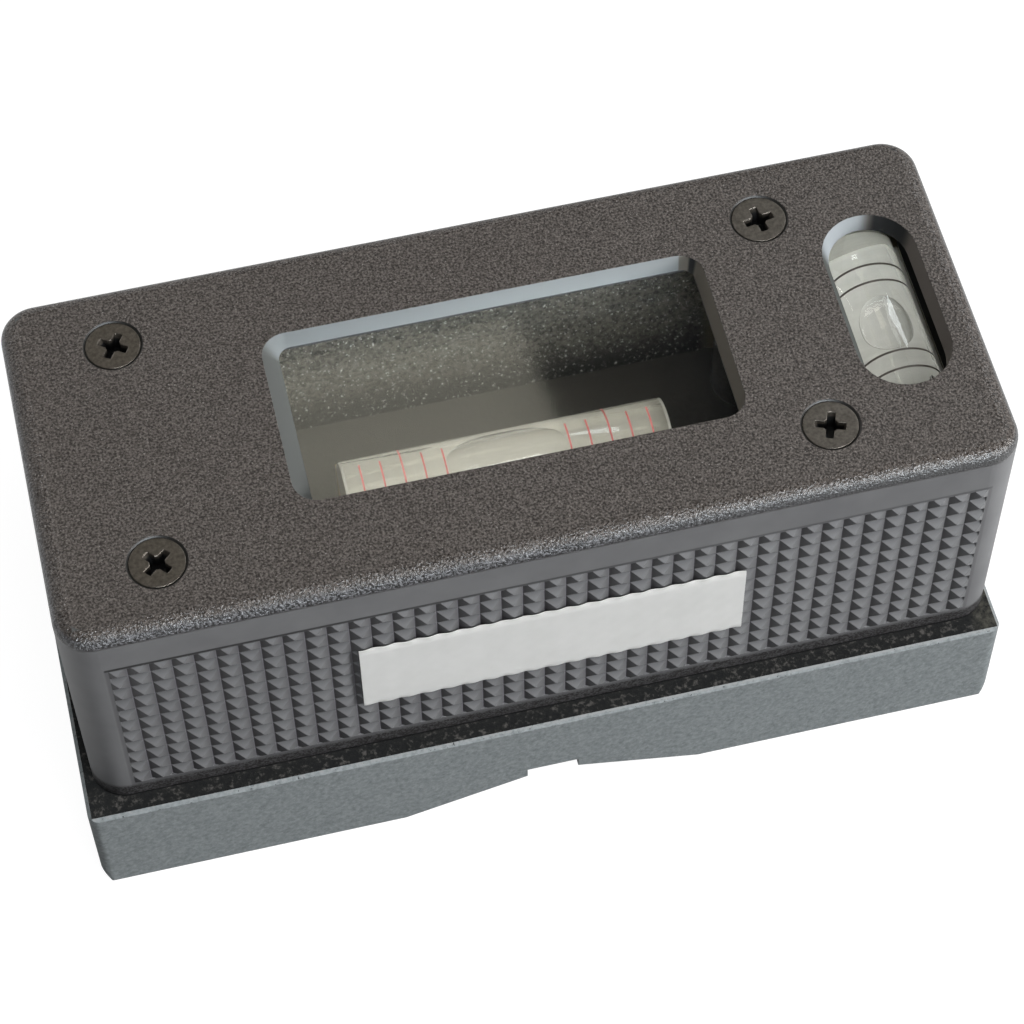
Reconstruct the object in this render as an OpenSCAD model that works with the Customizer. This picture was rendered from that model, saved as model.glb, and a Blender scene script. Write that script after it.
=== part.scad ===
// Crankshaft level: a cast base with a shallow V across its underside, a hollow
// cover with a window over the main vial and a slot over the small cross vial.
// Millimetres. X runs along the length, Y from the gripped front to the back, Z up.
// The origin is the middle of the base's underside.

/* [Base] */
// Length of the base
base_l = 90; // [86:0.5:100]
// Width of the base
base_w = 41.5; // [40:0.5:48]
// Height of the base up to the ledge that the cover stands on
base_h = 12.9; // [11:0.1:16]
// Radius of the base's upright corners
base_corner_r = 1; // [0.4:0.1:2]
// Bevel along the base's upper edges
base_bevel = 0.35; // [0.1:0.05:0.8]
// Width of the bevel at the foot of each end
foot_bevel_w = 0.75; // [0.3:0.05:1.5]
// Height of the bevel at the foot of each end
foot_bevel_h = 2.1; // [0.5:0.1:4]
// Height of the raised floor that locates the cover
floor_rise = 1.6; // [0.8:0.1:3]

/* [V across the underside] */
// Width of the V at the underside
vee_w = 29.75; // [20:0.25:36]
// Angle between the two flanks of the V
vee_angle = 150; // [140:1:160]
// Width of the relief slot at the root of the V
relief_w = 5.1; // [4.5:0.1:7]
// Height of the relief slot's roof above the underside
relief_h = 4.57; // [4.4:0.01:6]

/* [Cover] */
// Ledge of the base to the left of the cover
ledge_left = 1.15; // [0.5:0.05:3]
// Ledge of the base to the right of the cover
ledge_right = 0.45; // [0.4:0.05:3]
// Ledge of the base in front of the cover, and behind it
ledge_side = 2; // [1.5:0.1:3]
// Height of the cover above the ledge
cover_h = 29.1; // [27:0.1:34]
// Thickness of the cover's side walls
wall_t = 2; // [1.6:0.1:2.4]
// Thickness of the cover's top
plate_t = 2; // [1.8:0.1:2.6]
// Radius of the cover's upright corners
corner_r = 3.4; // [2.8:0.1:4.5]
// Rounding of the edge around the cover's top
edge_r = 1.5; // [0.8:0.1:2.2]
// Clearance of the cover around the raised floor
floor_gap = 0.1; // [0.05:0.05:0.4]

/* [Grip] */
// Spacing of the grip's pyramids
grip_pitch = 2; // [1.6:0.1:2.1]
// Height of a pyramid above its valleys
grip_depth = 0.56; // [0.5:0.02:0.9]
// How far the valleys lie below the smooth face
grip_sink = 0.2; // [0.1:0.02:0.3]
// Middle of the grip to the right of the cover's middle
grip_shift = 0.35; // [-0.5:0.05:0.5]
// Least smooth margin at each end of the grip
grip_end = 3.1; // [2.5:0.1:8]
// Least smooth margin above the grip
grip_head = 4.8; // [3:0.1:10]
// Height of the grip's lower edge above the ledge
grip_lift = 1.9; // [1.5:0.1:3]

/* [Window] */
// Distance of the window from the cover's left end
window_inset_left = 23.15; // [22.5:0.05:26]
// Distance of the window from the cover's right end
window_inset_right = 23.25; // [22.5:0.05:26]
// Plate that is left in front of the window, and behind it
window_inset_side = 9.4; // [9:0.1:11]
// Radius of the window's corners at the top face
window_r = 2.4; // [1.9:0.1:3]
// Inward slope of the window's left wall
window_slope_left = 1.6; // [0.2:0.1:1.6]
// Inward slope of the window's right wall
window_slope_right = 0.6; // [0.2:0.1:1.6]
// Inward slope of the window's front and back walls
window_slope_side = 0.3; // [0.1:0.1:1]
// Thickness of the window's pane
pane_t = 2; // [1:0.1:2.4]
// Overlap of the pane behind the edge of the window
pane_lap = 1.6; // [1:0.1:2]
// Thickness of the seal between the pane and the cover
seal_t = 0.3; // [0.2:0.05:0.5]

/* [Cross vial slot] */
// Distance of the slot's middle from the cover's right end
slot_inset = 7.65; // [7.4:0.05:8]
// Plate that is left in front of the slot, and behind it
slot_inset_side = 8.9; // [8.5:0.1:11]
// Width of the slot at the top face
slot_w = 9; // [7:0.1:9]
// Inward slope of the slot's left wall
slot_slope_left = 0.9; // [0.2:0.1:1.2]
// Inward slope of the slot's right wall
slot_slope_right = 0.5; // [0.2:0.1:1.2]
// Inward slope of the slot's two ends
slot_slope_end = 0.3; // [0.1:0.1:1]

/* [Vials] */
// Middle line of the two openings and the cross vial, behind the base's middle
line_y = 0.3; // [-0.5:0.1:0.5]
// Middle line of the main vial and its holder, behind the base's middle
vial_y = 0; // [-0.5:0.1:0.5]
// Outer diameter of the main vial
vial_d = 8; // [6.5:0.1:8]
// Bore of the main vial
vial_bore_d = 6.4; // [5.4:0.1:6.4]
// How far the main vial's left end stands in from the window's left end
vial_inset_left = 5.4; // [4:0.1:8]
// How far the main vial's right end stands in from the window's right end
vial_inset_right = 5; // [4:0.1:8]
// Height of the main vial's axis above the raised floor
vial_rise = 11; // [11:0.1:12.5]
// Length of the main vial's bubble
bubble_l = 11.5; // [8:0.1:12]
// Depth of the main vial's bubble
bubble_depth = 1.3; // [0.8:0.1:1.5]
// Length of the plug in each end of the main vial
plug_l = 2; // [1.5:0.1:3]
// Outer diameter of the cross vial
cross_d = 8; // [7:0.1:8]
// Bore of the cross vial
cross_bore_d = 6; // [5:0.1:6]
// How far the cross vial reaches past each end of the slot
cross_lap = 0.65; // [0.3:0.05:1]
// Depth of the cross vial's axis below the underside of the cover's top
cross_drop = 5.2; // [5:0.1:8]
// How far the cross vial stands to the right of the slot's middle
cross_shift = 0.4; // [-0.5:0.1:0.5]
// Length of the cross vial's bubble
cross_bubble_l = 6; // [4:0.1:7]
// Depth of the cross vial's bubble
cross_bubble_depth = 1; // [0.8:0.1:1.2]
// Thickness of the white bed that each vial is set in
bed_t = 0.5; // [0.3:0.1:0.6]
// Gap between a bubble and the roof of its bore
bubble_gap = 0.15; // [0.1:0.05:0.3]

/* [Main vial holder] */
// Thickness of the walls beside the vial's bed
trough_wall = 0.7; // [0.5:0.1:1.5]
// How far the walls end below the vial's axis
trough_drop = 1; // [0.5:0.1:2]
// Metal under the vial's bed
trough_floor = 2; // [1.5:0.1:2.5]
// Width of the holder's two tongues
tongue_w = 7; // [6.5:0.1:7.2]
// Distance of the hinge pin to the left of the window
pivot_gap = 3.3; // [2.8:0.1:3.8]
// Diameter of the hinge pin
pin_d = 2; // [1.5:0.1:2.5]
// Outer diameter of the hinge eye
eye_d = 5; // [4.6:0.1:5.4]
// Radial clearance of the hinge pin in the eye
pin_gap = 0.05; // [0.02:0.01:0.1]
// Side clearance of the eye between the bracket's cheeks
eye_side_gap = 0.2; // [0.1:0.05:0.4]
// Thickness of each bracket cheek
cheek_t = 2; // [1.5:0.1:2.2]
// Thickness of the bracket's foot
bracket_foot_t = 2; // [1.5:0.1:2.4]
// Length of the bracket's foot along the level
bracket_l = 8; // [7:0.1:9]
// Gap between the heads of the bracket's screws and its cheeks
bracket_screw_gap = 1.15; // [0.3:0.05:1.5]

/* [Adjusting screw] */
// Distance of the adjusting screw to the right of the window
adjust_gap = 5.7; // [5.2:0.1:6]
// Length of the adjusting screw under its head
adjust_screw_l = 15; // [12:0.5:16]
// Diameter of the plain washer under the head
washer_d = 7; // [6:0.1:7]
// Thickness of the plain washer
washer_t = 0.5; // [0.3:0.1:0.8]
// Gap that lets the holder tilt under the washer
washer_gap = 0.04; // [0.03:0.01:0.1]
// Outer diameter of the spring under the holder
spring_d = 5.6; // [5:0.1:6]
// Thickness of the spring's wire
spring_wire = 0.6; // [0.4:0.05:0.7]
// Turns of the spring between its flat ends
spring_turns = 3; // [2:1:4]

/* [Posts, screws and stand] */
// Distance of the left cover screws from the cover's left end
screw_inset_left = 10.05; // [9:0.05:12]
// Distance of the right cover screws from the cover's right end
screw_inset_right = 16.65; // [16.4:0.05:17]
// Distance of the cover screws from the cover's long sides
screw_inset_side = 6.75; // [6.2:0.05:7]
// Diameter of the posts under the cover
post_d = 6.6; // [6:0.1:6.8]
// Diameter of the spigot at the foot of each post
spigot_d = 4; // [3.5:0.1:4.5]
// Length of the spigot at the foot of each post
spigot_l = 5; // [3:0.5:6]
// Length of the cover screws
cover_screw_l = 10; // [8:0.5:12]
// Thickness of the cross vial stand's foot
stand_foot_t = 2.5; // [2:0.1:3]
// Room between the stand's foot and the cover's side walls
stand_foot_gap = 1.25; // [0.8:0.05:2]
// Thickness of the stand's walls beside the vial's bed
stand_wall = 0.45; // [0.3:0.05:0.6]
// How far the stand's head reaches past its pedestal at each end
stand_flare = 4; // [3:0.1:5]
// Distance of the stand's screws from the ends of its foot
stand_screw_inset = 3.8; // [3:0.1:4.5]
// Depth of thread that the foot screws have in the base
foot_screw_reach = 6; // [4:0.5:7]

/* [Label] */
// Length of the label on the front grip
label_l = 36.3; // [20:0.1:40]
// Height of the label
label_h = 10.1; // [6:0.1:14]
// Thickness of the label
label_t = 0.12; // [0.08:0.01:0.2]
// Middle of the label to the right of the cover's middle
label_shift = 0.1; // [-10:0.05:10]
// Height of the label's middle above the grip's lower edge
label_rise = 11.6; // [7:0.05:14]

/* [Hidden] */
$fn = 48;
// Metric 3 mm screws: thread, running and clearance holes, and head sizes
thread_r = 1.5;
running_gap = 0.05;
clear_r = 1.7;
csk_head_r = 2.55;
csk_rim_r = 2.8;
csk_land = 0.15;
socket_head_r = 2.75;
socket_head_h = 3;
pan_head_h = 2;
socket_flats = 2.5;
socket_depth = 1.5;
// Cross recess: depth, width of an arm, reach at the top and at the foot, and its round core
recess_depth = 1.6;
recess_w = 0.75;
recess_r = 1.45;
recess_foot_r = 0.9;
recess_core_r = 0.7;
// How far a hole runs on past the end of a fixed screw, and of the adjusting screw
hole_run = 1;
bore_run = 2;
// Metal round the ends of the hinge bracket and under the cross vial's bed
bracket_edge = 0.5;
stand_head_t = 1.5;
// Turn of the cross recess in each cover screw: front left, front right, back left, back right
recess_turns = [42, 70, 58, 10];

cover_l = base_l - ledge_left - ledge_right;
cover_w = base_w - 2 * ledge_side;
cover_shift = (ledge_left - ledge_right) / 2;
cover_left = cover_shift - cover_l / 2;
cover_right = cover_shift + cover_l / 2;
floor_z = base_h + floor_rise;
cover_top = base_h + cover_h;
plate_z = cover_top - plate_t;
grip_cols = floor((cover_l - 2 * grip_end) / grip_pitch);
grip_rows = floor((cover_h - grip_lift - grip_head) / grip_pitch);
grip_y = cover_w / 2 - grip_sink;
grip_x = cover_shift + grip_shift;
tip_y = grip_y + grip_depth;
grip_z = base_h + grip_lift;
window_left = cover_left + window_inset_left;
window_right = cover_right - window_inset_right;
window_l = window_right - window_left;
window_x = (window_left + window_right) / 2;
window_w = cover_w - 2 * window_inset_side;
slot_l = cover_w - 2 * slot_inset_side;
slot_x = cover_right - slot_inset;
cross_x = slot_x + cross_shift;
cross_l = slot_l + 2 * cross_lap;
cross_z = plate_z - cross_drop;
vial_left = window_left + vial_inset_left;
vial_right = window_right - vial_inset_right;
vial_l = vial_right - vial_left;
vial_x = (vial_left + vial_right) / 2;
vial_z = floor_z + vial_rise;
screw_y = cover_w / 2 - screw_inset_side;
screw_left = cover_left + screw_inset_left;
screw_right = cover_right - screw_inset_right;
screw_places = [[screw_left, -screw_y], [screw_right, -screw_y],
                [screw_left, screw_y], [screw_right, screw_y]];
trough_r = vial_d / 2 + bed_t;
trough_w = 2 * (trough_r + trough_wall);
trough_h = trough_floor + trough_r - trough_drop;
trough_z = vial_z - trough_r - trough_floor;
tongue_z = trough_z + trough_floor;
pivot_x = window_left - pivot_gap;
pivot_z = trough_z + trough_floor / 2;
adjust_x = window_right + adjust_gap;
cheek_in = tongue_w / 2 + eye_side_gap;
cheek_out = cheek_in + cheek_t;
bracket_screw_y = cheek_out + socket_head_r + bracket_screw_gap;
cross_trough_r = cross_d / 2 + bed_t;
stand_w = 2 * (cross_trough_r + stand_wall);
stand_foot_l = cover_w - 2 * (wall_t + stand_foot_gap);
stand_screw_y = stand_foot_l / 2 - stand_screw_inset;
pedestal_l = cross_l - 2 * stand_flare;
stand_top = cross_z + cross_d / 4;
eps = 0.01;
// How far the grip's pocket is cut below the valleys, and inside the outer slopes
pocket_lip = 0.05;
// How far a bubble's upright sides stand in from where its flat face meets the bore
bubble_side = 0.1;

// A flat rounded rectangle, length along X
module round_rect(l, w, r) {
    square([l - 2 * r, w], center = true);
    square([l, w - 2 * r], center = true);
    for (sx = [-1, 1], sy = [-1, 1])
        translate([sx * (l / 2 - r), sy * (w / 2 - r)]) circle(r);
}

// A section that stands on its lower edge, with both top corners rounded
module round_top(w, h, r) {
    translate([-w / 2, 0]) square([w, h - r]);
    translate([-w / 2 + r, 0]) square([w - 2 * r, h]);
    for (s = [-1, 1]) translate([s * (w / 2 - r), h - r]) circle(r);
}

// Lies along X, with the drawn section's X to the back and its Y up
module along_x(l) {
    translate([-l / 2, 0, 0]) rotate([90, 0, 90]) linear_extrude(l) children();
}

// Lies along Y, with the drawn section's X to the right and its Y up
module along_y(l) {
    translate([0, l / 2, 0]) rotate([90, 0, 0]) linear_extrude(l) children();
}

// A round bar along X or Y, centred on its own middle
module bar_x(r, l) { rotate([0, 90, 0]) cylinder(r = r, h = l, center = true); }
module bar_y(r, l) { rotate([90, 0, 0]) cylinder(r = r, h = l, center = true); }

// Half of a ring, below its axis
module half_ring(r_in, r_out) {
    difference() {
        circle(r_out);
        circle(r_in);
        translate([-r_out - 1, 0]) square(2 * r_out + 2);
    }
}

// An air bubble under the roof of a bore that lies along X, drawn round the bore's axis
module bubble(bore_r, l, depth) {
    r = bore_r - bubble_gap;
    level = r - depth;
    half_w = sqrt(r * r - level * level) - bubble_side;
    intersection() {
        bar_x(r, l + 2);
        translate([0, 0, level]) linear_extrude(bore_r) {
            square([l - 2 * half_w, 2 * half_w], center = true);
            for (s = [-1, 1]) translate([s * (l / 2 - half_w), 0]) circle(half_w);
        }
    }
}

// A hexagon socket, open upwards at z = 0
module hex_socket() {
    translate([0, 0, -socket_depth]) cylinder(r = socket_flats / sqrt(3), h = socket_depth + 1, $fn = 6);
}

// The V with its relief slot, drawn as a section to cut away
module vee_section() {
    flank = (180 - vee_angle) / 2;
    half = vee_w / 2;
    root = (half - relief_w / 2) * tan(flank);
    polygon([[-half - 1 / tan(flank), -1], [half + 1 / tan(flank), -1],
             [relief_w / 2, root], [relief_w / 2, relief_h],
             [-relief_w / 2, relief_h], [-relief_w / 2, root]]);
}

// The long side of the base, with the bevelled foot at each end and the bevelled upper edges
module base_section() {
    polygon([[-base_l / 2 + foot_bevel_w, 0], [base_l / 2 - foot_bevel_w, 0],
             [base_l / 2, foot_bevel_h], [base_l / 2, base_h - base_bevel],
             [base_l / 2 - base_bevel, base_h], [-base_l / 2 + base_bevel, base_h],
             [-base_l / 2, base_h - base_bevel], [-base_l / 2, foot_bevel_h]]);
}

// The end of the base, with the same bevel along its upper edges
module base_end_section() {
    polygon([[-base_w / 2, 0], [base_w / 2, 0],
             [base_w / 2, base_h - base_bevel], [base_w / 2 - base_bevel, base_h],
             [-base_w / 2 + base_bevel, base_h], [-base_w / 2, base_h - base_bevel]]);
}

module raised_floor() {
    gap = wall_t + floor_gap;
    translate([cover_shift, 0, base_h - 1]) linear_extrude(floor_rise + 1)
        round_rect(cover_l - 2 * gap, cover_w - 2 * gap, corner_r - wall_t);
}

module blind_hole(x, y, r, depth) {
    translate([x, y, floor_z - depth]) cylinder(r = r, h = depth + 1);
}

module base_casting() {
    color([0.45, 0.48, 0.50]) difference() {
        union() {
            intersection() {
                along_y(base_w) base_section();
                along_x(base_l) base_end_section();
                linear_extrude(base_h) round_rect(base_l, base_w, base_corner_r);
            }
            raised_floor();
        }
        along_y(base_w + 2) vee_section();
        for (p = screw_places) blind_hole(p[0], p[1], spigot_d / 2, spigot_l);
        for (s = [-1, 1]) {
            blind_hole(pivot_x, vial_y + s * bracket_screw_y, thread_r, foot_screw_reach + hole_run);
            blind_hole(cross_x, line_y + s * stand_screw_y, thread_r, foot_screw_reach + hole_run);
        }
        blind_hole(adjust_x, vial_y, thread_r + running_gap, adjust_reach() + bore_run);
    }
}

// Depth of the adjusting screw's tip below the raised floor
function adjust_reach() = adjust_screw_l - (tongue_z + washer_gap + washer_t - floor_z);

// The cover's outer form: round upright corners and a rounded edge around the top
module cover_body() {
    union() {
        along_x(cover_l - 2 * corner_r) round_top(cover_w, cover_h, edge_r);
        along_y(cover_w - 2 * corner_r) round_top(cover_l, cover_h, edge_r);
        for (sx = [-1, 1], sy = [-1, 1])
            translate([sx * (cover_l / 2 - corner_r), sy * (cover_w / 2 - corner_r), 0])
                rotate_extrude() intersection() {
                    round_top(2 * corner_r, cover_h, edge_r);
                    square([corner_r, cover_h]);
                }
    }
}

// A row of ridges along the drawn X, with their valleys on y = 0 and their backs at y = -root
module ridges(count, root) {
    polygon(concat([[0, -root]],
                   [for (i = [0 : 2 * count]) [i * grip_pitch / 2, (i % 2) * grip_depth]],
                   [[count * grip_pitch, -root]]));
}

// A field of pyramids on a slab: upright ridges crossed with level ones
module grip_field() {
    l = grip_cols * grip_pitch;
    h = grip_rows * grip_pitch;
    root = wall_t / 2;
    intersection() {
        translate([-l / 2, 0, 0]) mirror([0, 1, 0]) linear_extrude(h) ridges(grip_cols, root);
        translate([-l / 2 - 1, 0, 0]) rotate([90, 0, 90]) linear_extrude(l + 2)
            rotate(90) ridges(grip_rows, root);
    }
}

// The pocket that the pyramids stand in, its edges just inside the lines where the outer slopes rise
module grip_pocket() {
    inset = grip_sink / grip_depth * grip_pitch / 2 + pocket_lip;
    l = grip_cols * grip_pitch - 2 * inset;
    h = grip_rows * grip_pitch - 2 * inset;
    translate([-l / 2, -grip_sink - 1, inset]) cube([l, grip_sink + 1 + pocket_lip, h]);
}

// An opening through the top whose walls slope inwards, each by its own amount
module sloped_opening(l, w, r, left, right, side) {
    r_foot = max(r - (left + right) / 2, r / 4);
    hull() {
        translate([0, 0, plate_t]) linear_extrude(eps) round_rect(l, w, r, $fn = 32);
        translate([(left - right) / 2, 0, -eps]) linear_extrude(eps)
            round_rect(l - left - right, w - 2 * side, r_foot, $fn = 32);
    }
}

module window_cut() {
    translate([window_x, line_y, plate_z])
        sloped_opening(window_l, window_w, window_r,
                       window_slope_left, window_slope_right, window_slope_side);
}

module slot_cut() {
    translate([slot_x, line_y, plate_z])
        sloped_opening(slot_w, slot_l, slot_w / 2 - eps,
                       slot_slope_left, slot_slope_right, slot_slope_end);
}

module countersink() {
    translate([0, 0, -plate_t - 1]) cylinder(r = clear_r, h = plate_t + 1);
    translate([0, 0, clear_r - csk_rim_r]) cylinder(r1 = clear_r, r2 = csk_rim_r, h = csk_rim_r - clear_r);
    cylinder(r = csk_rim_r, h = 1);
}

module on_long_sides() {
    for (s = [0, 1]) mirror([0, s, 0]) translate([grip_x, -grip_y, grip_z]) children();
}

module cover() {
    color([0.26, 0.24, 0.23]) difference() {
        union() {
            difference() {
                translate([cover_shift, 0, base_h]) cover_body();
                translate([cover_shift, 0, base_h - 1]) linear_extrude(cover_h - plate_t + 1)
                    round_rect(cover_l - 2 * wall_t, cover_w - 2 * wall_t, corner_r - wall_t);
                on_long_sides() grip_pocket();
            }
            on_long_sides() grip_field();
        }
        window_cut();
        slot_cut();
        for (p = screw_places) translate([p[0], p[1], cover_top]) countersink();
    }
}

module cover_posts() {
    color([0.62, 0.62, 0.64])
        for (p = screw_places) translate([p[0], p[1], 0]) difference() {
            union() {
                translate([0, 0, floor_z]) cylinder(d = post_d, h = plate_z - floor_z);
                translate([0, 0, floor_z - spigot_l]) cylinder(d = spigot_d, h = spigot_l + 1);
            }
            translate([0, 0, cover_top - cover_screw_l - hole_run])
                cylinder(r = thread_r, h = cover_screw_l + hole_run);
        }
}

// A countersunk screw with a cross recess, its head level with z = 0
module cross_screw(l) {
    difference() {
        union() {
            translate([0, 0, -csk_land]) cylinder(r = csk_head_r, h = csk_land);
            translate([0, 0, thread_r - csk_head_r - csk_land])
                cylinder(r1 = thread_r, r2 = csk_head_r, h = csk_head_r - thread_r);
            translate([0, 0, -l]) cylinder(r = thread_r, h = l - csk_land);
        }
        intersection() {
            translate([0, 0, -recess_depth]) linear_extrude(recess_depth + 1) {
                square([2 * recess_r + 1, recess_w], center = true);
                square([recess_w, 2 * recess_r + 1], center = true);
                circle(recess_core_r);
            }
            translate([0, 0, -recess_depth])
                cylinder(r1 = recess_foot_r, r2 = recess_r, h = recess_depth + eps);
        }
    }
}

module cover_screws() {
    head_top = cover_top - (csk_rim_r - csk_head_r) + csk_land;
    color([0.40, 0.37, 0.34])
        for (i = [0 : 3]) translate([screw_places[i][0], screw_places[i][1], head_top])
            rotate(recess_turns[i]) cross_screw(cover_screw_l);
}

// The window's outline at the underside of the cover, grown by a lap
module window_foot(lap) {
    translate([window_x + (window_slope_left - window_slope_right) / 2, line_y])
        square([window_l - window_slope_left - window_slope_right + 2 * lap,
                window_w - 2 * window_slope_side + 2 * lap], center = true);
}

module window_seal() {
    color([0.05, 0.05, 0.05]) translate([0, 0, plate_z - seal_t]) linear_extrude(seal_t)
        difference() {
            window_foot(pane_lap);
            window_foot(0);
        }
}

module window_pane() {
    color([0.75, 0.82, 0.80, 0.35]) translate([0, 0, plate_z - seal_t - pane_t])
        linear_extrude(pane_t) window_foot(pane_lap);
}

module main_vial_tube() {
    color([0.85, 0.88, 0.80, 0.5]) translate([vial_x, vial_y, vial_z]) difference() {
        bar_x(vial_d / 2, vial_l);
        bar_x(vial_bore_d / 2, vial_l + 2);
    }
}

module main_vial_plugs() {
    color([0.85, 0.84, 0.76]) translate([vial_x, vial_y, vial_z])
        for (s = [-1, 1]) translate([s * (vial_l - plug_l) / 2, 0, 0]) bar_x(vial_bore_d / 2, plug_l);
}

module main_vial_bubble() {
    color([0.9, 0.95, 0.95, 0.6]) translate([vial_x, vial_y, vial_z])
        bubble(vial_bore_d / 2, bubble_l, bubble_depth);
}

module main_vial_bed() {
    color([0.92, 0.90, 0.82]) translate([vial_x, vial_y, vial_z])
        along_x(vial_l) half_ring(vial_d / 2, trough_r);
}

module main_vial_holder() {
    left = pivot_x + eye_d / 4;
    color([0.72, 0.60, 0.35]) translate([0, vial_y, 0]) difference() {
        union() {
            translate([vial_x - vial_l / 2, -trough_w / 2, trough_z]) cube([vial_l, trough_w, trough_h]);
            translate([left, -tongue_w / 2, trough_z]) cube([adjust_x - left, tongue_w, trough_floor]);
            translate([adjust_x, 0, trough_z]) cylinder(d = tongue_w, h = trough_floor);
            translate([pivot_x, 0, pivot_z]) bar_y(eye_d / 2, tongue_w);
        }
        translate([vial_x, 0, vial_z]) bar_x(trough_r, vial_l + 2);
        translate([pivot_x, 0, pivot_z]) bar_y(pin_d / 2 + pin_gap, tongue_w + 2);
        translate([adjust_x, 0, trough_z - 1]) cylinder(r = clear_r + 2 * running_gap, h = trough_floor + 2);
    }
}

// The bracket: a foot with two cheeks, rounded over the hinge pin
module pivot_bracket() {
    foot_w = 2 * (bracket_screw_y + socket_head_r + bracket_edge);
    cheek_r = bracket_l / 2 - bracket_edge;
    color([0.55, 0.56, 0.58]) translate([pivot_x, vial_y, 0]) difference() {
        union() {
            translate([-bracket_l / 2, -foot_w / 2, floor_z]) cube([bracket_l, foot_w, bracket_foot_t]);
            for (s = [-1, 1]) translate([0, s * (cheek_in + cheek_t / 2), 0]) {
                translate([-cheek_r, -cheek_t / 2, floor_z]) cube([2 * cheek_r, cheek_t, pivot_z - floor_z]);
                translate([0, 0, pivot_z]) bar_y(cheek_r, cheek_t);
            }
        }
        translate([0, 0, pivot_z]) bar_y(pin_d / 2, 2 * cheek_out + 2);
        for (s = [-1, 1]) translate([0, s * bracket_screw_y, floor_z - 1])
            cylinder(r = clear_r, h = bracket_foot_t + 2);
    }
}

module pivot_pin() {
    color([0.75, 0.75, 0.77]) translate([pivot_x, vial_y, pivot_z]) bar_y(pin_d / 2, 2 * cheek_out);
}

// A screw with a hexagon socket, the underside of its head at z = 0
module socket_screw(head_h, l) {
    difference() {
        union() {
            cylinder(r = socket_head_r, h = head_h);
            translate([0, 0, -l]) cylinder(r = thread_r, h = l + head_h / 2);
        }
        translate([0, 0, head_h]) hex_socket();
    }
}

module bracket_screws() {
    color([0.30, 0.30, 0.32])
        for (s = [-1, 1]) translate([pivot_x, vial_y + s * bracket_screw_y, floor_z + bracket_foot_t])
            socket_screw(pan_head_h, bracket_foot_t + foot_screw_reach);
}

module adjusting_screw() {
    color([0.30, 0.30, 0.32]) translate([adjust_x, vial_y, tongue_z + washer_gap + washer_t])
        socket_screw(socket_head_h, adjust_screw_l);
}

module adjusting_washer() {
    color([0.70, 0.70, 0.72]) translate([adjust_x, vial_y, tongue_z + washer_gap]) difference() {
        cylinder(d = washer_d, h = washer_t);
        translate([0, 0, -1]) cylinder(r = thread_r + running_gap, h = washer_t + 2);
    }
}

// A coil spring as a swept octagon, with a closed turn at each end
module adjusting_spring() {
    sides = 8;
    steps = 12;
    wire_r = spring_wire / 2;
    coil_r = spring_d / 2 - wire_r;
    rings = (spring_turns + 2) * steps;
    rise = trough_z - floor_z - spring_wire - 2 * eps;
    low = floor_z + wire_r + eps;
    climb = function (turn) turn < 1 ? spring_wire * turn
        : turn > spring_turns + 1 ? rise - spring_wire * (spring_turns + 2 - turn)
        : spring_wire + (rise - 2 * spring_wire) * (turn - 1) / spring_turns;
    points = [for (i = [0 : rings], j = [0 : sides - 1])
        let (a = 360 * i / steps, b = 360 * (j + 0.5) / sides, r = coil_r + wire_r * cos(b))
            [r * cos(a), r * sin(a), low + climb(i / steps) + wire_r * sin(b)]];
    skin = [for (i = [0 : rings - 1], j = [0 : sides - 1])
        let (p = i * sides + j, q = i * sides + (j + 1) % sides)
            each [[p, p + sides, q], [q, p + sides, q + sides]]];
    caps = [[for (j = [0 : sides - 1]) j], [for (j = [sides - 1 : -1 : 0]) rings * sides + j]];
    color([0.65, 0.65, 0.68]) translate([adjust_x, vial_y, 0])
        polyhedron(points = points, faces = concat(skin, caps));
}

module cross_place() {
    translate([cross_x, line_y, cross_z]) rotate(90) children();
}

module cross_vial_tube() {
    color([0.88, 0.88, 0.80, 0.5]) cross_place() difference() {
        bar_x(cross_d / 2, cross_l);
        bar_x(cross_bore_d / 2, cross_l + 2);
    }
}

module cross_vial_plugs() {
    color([0.88, 0.87, 0.80]) cross_place()
        for (s = [-1, 1]) translate([s * (cross_l - plug_l) / 2, 0, 0]) bar_x(cross_bore_d / 2, plug_l);
}

module cross_vial_bubble() {
    color([0.9, 0.95, 0.95, 0.6]) cross_place() bubble(cross_bore_d / 2, cross_bubble_l, cross_bubble_depth);
}

module cross_vial_bed() {
    color([0.92, 0.90, 0.82]) cross_place() along_x(cross_l) half_ring(cross_d / 2, cross_trough_r);
}

// The stand: a foot, a narrow pedestal and a head that widens to the vial's length
module cross_vial_stand() {
    head_z = cross_z - cross_trough_r - stand_head_t;
    flare_z = head_z - stand_flare;
    color([0.12, 0.12, 0.12]) difference() {
        translate([cross_x, line_y, 0]) along_x(stand_w) polygon([
            [-stand_foot_l / 2, floor_z], [stand_foot_l / 2, floor_z],
            [stand_foot_l / 2, floor_z + stand_foot_t], [pedestal_l / 2, floor_z + stand_foot_t],
            [pedestal_l / 2, flare_z], [cross_l / 2, head_z], [cross_l / 2, stand_top],
            [-cross_l / 2, stand_top], [-cross_l / 2, head_z], [-pedestal_l / 2, flare_z],
            [-pedestal_l / 2, floor_z + stand_foot_t], [-stand_foot_l / 2, floor_z + stand_foot_t]]);
        cross_place() bar_x(cross_trough_r, cross_l + 2);
        for (s = [-1, 1]) translate([cross_x, line_y + s * stand_screw_y, floor_z - 1])
            cylinder(r = clear_r, h = stand_foot_t + 2);
    }
}

module stand_screws() {
    color([0.30, 0.30, 0.32])
        for (s = [-1, 1]) translate([cross_x, line_y + s * stand_screw_y, floor_z + stand_foot_t])
            socket_screw(pan_head_h, stand_foot_t + foot_screw_reach);
}

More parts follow.
